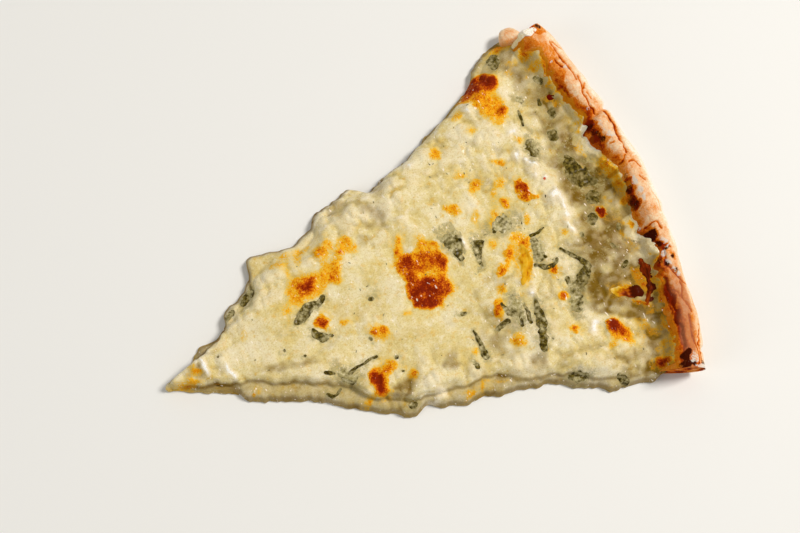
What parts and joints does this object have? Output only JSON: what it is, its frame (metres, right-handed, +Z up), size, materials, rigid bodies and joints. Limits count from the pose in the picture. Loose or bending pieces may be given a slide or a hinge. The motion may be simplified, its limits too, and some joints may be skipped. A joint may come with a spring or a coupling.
{
  "type": "white pizza slice with spinach and artichoke",
  "caption": "Triangular slice of a large thin-based white pizza: puffed browned rim, thick melted cheese and cream running over both cuts, with spinach and artichoke pieces.",
  "frame": {"origin": "on the flat underside, on the slice's centre line, 160 mm from the pie's centre, close to the point where the slice balances", "axes": "+X from the tip to the rim along the centre line, +Y to the left of that, +Z up out of the topping"},
  "size_m": [0.2664, 0.2028, 0.0249],
  "materials": {
    "crust": "baked wheat dough: matte, dry, peach to brown with charred spots and pale floury places",
    "cheese": "melted cheese and cream, moist and slightly oily, ivory with olive shade in hollows and amber to brown blisters",
    "spinach": "wilted cooked spinach, dull dark green, partly filmed over with cream",
    "artichoke": "cooked artichoke petal browned golden, moist"
  },
  "bodies": {
    "root": {"crust": "crust", "cheese": "cheese", "spinach_01": "spinach", "spinach_02": "spinach", "spinach_03": "spinach", "spinach_04": "spinach", "spinach_05": "spinach", "spinach_06": "spinach", "spinach_07": "spinach", "spinach_08": "spinach", "spinach_09": "spinach", "spinach_10": "spinach", "spinach_11": "spinach", "spinach_12": "spinach", "spinach_13": "spinach", "spinach_14": "spinach", "spinach_15": "spinach", "spinach_16": "spinach", "spinach_17": "spinach", "artichoke_01": "artichoke", "artichoke_02": "artichoke"}
  },
  "joints": []
}
